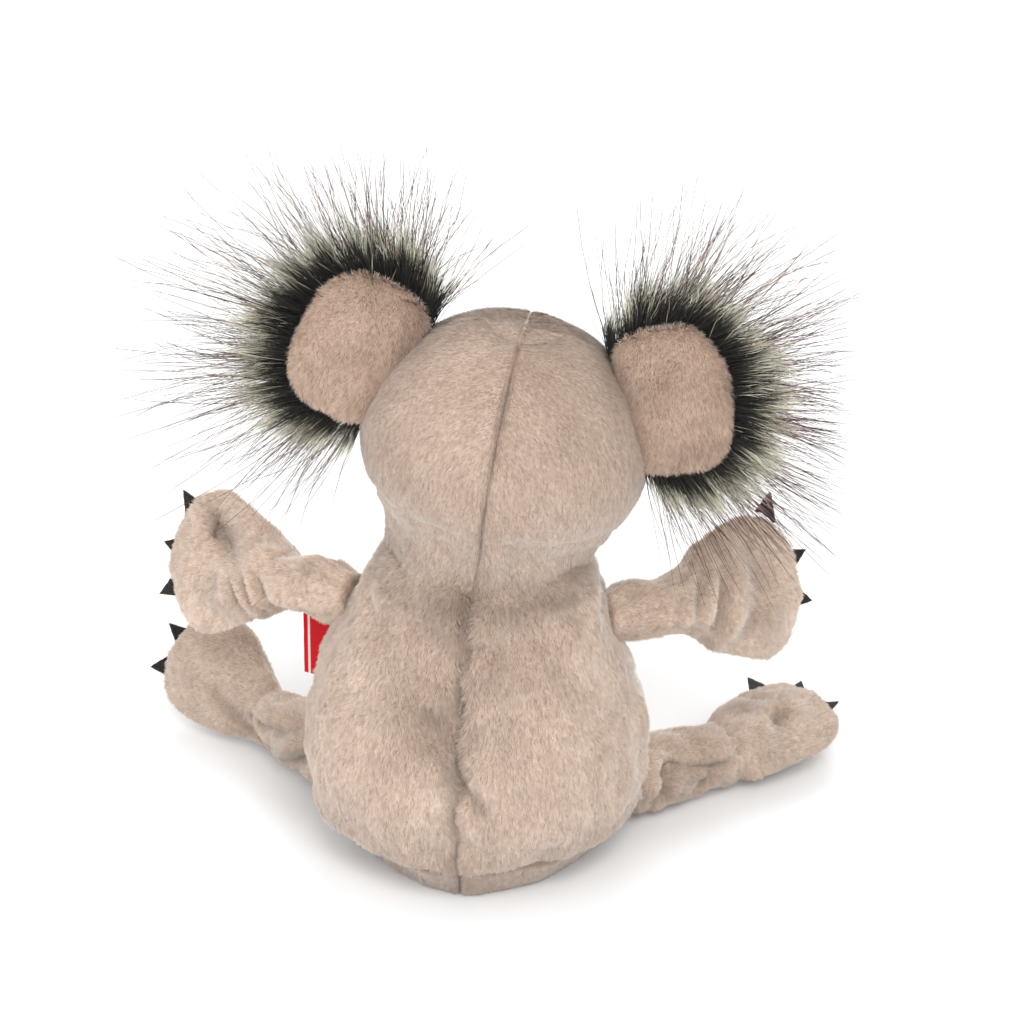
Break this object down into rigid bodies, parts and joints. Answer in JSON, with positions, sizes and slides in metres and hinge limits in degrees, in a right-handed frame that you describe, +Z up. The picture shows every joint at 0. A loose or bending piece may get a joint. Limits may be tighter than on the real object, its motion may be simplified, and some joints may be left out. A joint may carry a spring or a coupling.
{
  "type": "glove puppet",
  "caption": "Plush koala glove puppet sitting on its open hem, with a stuffed head, furry ears and limp hollow arms and legs.",
  "frame": {"origin": "bottom centre of the bounding box, on the surface the puppet sits on", "axes": "+Z up, +X towards the puppet's own left arm, facing -Y"},
  "size_m": [0.2834, 0.1636, 0.2716],
  "materials": {
    "plush": "short directional plush pile",
    "belly_plush": "short plush pile",
    "ear_fur": "long pile fur, black at the root, pale tips",
    "lining": "plain woven lining",
    "fibre_fill": "loose polyester fibre",
    "black_felt": "matt felt",
    "eye_gloss": "polished",
    "washer_plastic": "moulded",
    "nose_cloth": "smooth short nap",
    "red_ribbon": "woven ribbon"
  },
  "bodies": {
    "torso": {"torso_back_left": "plush", "torso_back_right": "plush", "belly_panel": "belly_plush", "hem_band": "plush", "torso_wadding": "fibre_fill", "glove_lining": "lining", "side_label": "red_ribbon"},
    "pocket": {"finger_pocket": "lining"},
    "head": {"head_back_left": "plush", "head_back_right": "plush", "face_panel": "plush", "head_filling": "fibre_fill", "nose": "nose_cloth", "mouth_stitch": "black_felt", "eye_left": "eye_gloss", "eye_right": "eye_gloss", "eye_washer_left": "washer_plastic", "eye_washer_right": "washer_plastic"},
    "ear_left": {"ear_back_left": "plush", "ear_pad_left": "fibre_fill", "ear_fur_left": "ear_fur"},
    "shoulder_left": {"armhole_binding_left": "lining"},
    "arm_left": {"arm_sleeve_left": "plush"},
    "paw_left": {"paw_left_cover": "plush", "paw_left_filling": "fibre_fill", "paw_left_claw_1": "black_felt", "paw_left_claw_2": "black_felt", "paw_left_claw_3": "black_felt"},
    "leg_left": {"leg_cover_left": "plush", "leg_filling_left": "fibre_fill"},
    "foot_left": {"foot_left_cover": "plush", "foot_left_filling": "fibre_fill", "foot_left_claw_1": "black_felt", "foot_left_claw_2": "black_felt", "foot_left_claw_3": "black_felt"},
    "ear_right": {"ear_back_right": "plush", "ear_pad_right": "fibre_fill", "ear_fur_right": "ear_fur"},
    "shoulder_right": {"armhole_binding_right": "lining"},
    "arm_right": {"arm_sleeve_right": "plush"},
    "paw_right": {"paw_right_cover": "plush", "paw_right_filling": "fibre_fill", "paw_right_claw_1": "black_felt", "paw_right_claw_2": "black_felt", "paw_right_claw_3": "black_felt"},
    "leg_right": {"leg_cover_right": "plush", "leg_filling_right": "fibre_fill"},
    "foot_right": {"foot_right_cover": "plush", "foot_right_filling": "fibre_fill", "foot_right_claw_1": "black_felt", "foot_right_claw_2": "black_felt", "foot_right_claw_3": "black_felt"}
  },
  "joints": [
    {"name": "neck_nod", "type": "hinge", "parent": "torso", "child": "pocket", "pos_m": [-0.00943, 0.02202, 0.127], "axis": [1, 0, 0], "range_deg": [-15, 20]},
    {"name": "head_turn", "type": "hinge", "parent": "pocket", "child": "head", "pos_m": [-0.00943, 0.02202, 0.127], "axis": [-0.1386, -0.0872, 0.9865], "range_deg": [-40, 40]},
    {"name": "arm_left_swing", "type": "hinge", "parent": "torso", "child": "shoulder_left", "pos_m": [0.04903, 0.01802, 0.103], "axis": [0, 0, -1], "range_deg": [-35, 22]},
    {"name": "arm_left_raise", "type": "hinge", "parent": "shoulder_left", "child": "arm_left", "pos_m": [0.04903, 0.01802, 0.103], "axis": [-0.4848, -0.8746, 0], "range_deg": [-12, 20]},
    {"name": "paw_left_flop", "type": "hinge", "parent": "arm_left", "child": "paw_left", "pos_m": [0.08556, -0.00223, 0.09861], "axis": [-0.122, -0.4156, 0.9013], "range_deg": [-35, 35]},
    {"name": "leg_left_swing", "type": "hinge", "parent": "torso", "child": "leg_left", "pos_m": [0.05156, -0.00118, 0.017], "axis": [-0.6157, -0.788, 0], "range_deg": [-50, 20]},
    {"name": "foot_left_flop", "type": "hinge", "parent": "leg_left", "child": "foot_left", "pos_m": [0.0878, -0.02949, 0.0158], "axis": [-0.4993, -0.2802, 0.8199], "range_deg": [-30, 30]},
    {"name": "ear_left_flop", "type": "hinge", "parent": "head", "child": "ear_left", "pos_m": [0.02876, 0.01838, 0.20909], "axis": [-0.4475, -0.3533, 0.8216], "range_deg": [-12, 12], "stiffness_Nm_per_rad": 0.3},
    {"name": "arm_right_swing", "type": "hinge", "parent": "torso", "child": "shoulder_right", "pos_m": [-0.06028, 0.01802, 0.103], "axis": [0, 0, 1], "range_deg": [-45, 12]},
    {"name": "arm_right_raise", "type": "hinge", "parent": "shoulder_right", "child": "arm_right", "pos_m": [-0.06028, 0.01802, 0.103], "axis": [-0.6293, 0.7771, 0], "range_deg": [-12, 20]},
    {"name": "paw_right_flop", "type": "hinge", "parent": "arm_right", "child": "paw_right", "pos_m": [-0.0928, -0.00831, 0.09934], "axis": [0.2046, -0.3781, 0.9029], "range_deg": [-35, 35]},
    {"name": "leg_right_swing", "type": "hinge", "parent": "torso", "child": "leg_right", "pos_m": [-0.06281, -0.00118, 0.017], "axis": [-0.5878, 0.809, 0], "range_deg": [-50, 20]},
    {"name": "foot_right_flop", "type": "hinge", "parent": "leg_right", "child": "foot_right", "pos_m": [-0.10002, -0.02821, 0.0158], "axis": [0.7619, -0.6381, 0.1108], "range_deg": [-30, 30]},
    {"name": "ear_right_flop", "type": "hinge", "parent": "head", "child": "ear_right", "pos_m": [-0.06737, 0.01817, 0.19809], "axis": [-0.2037, 0.3533, -0.9131], "range_deg": [-12, 12], "stiffness_Nm_per_rad": 0.3}
  ]
}
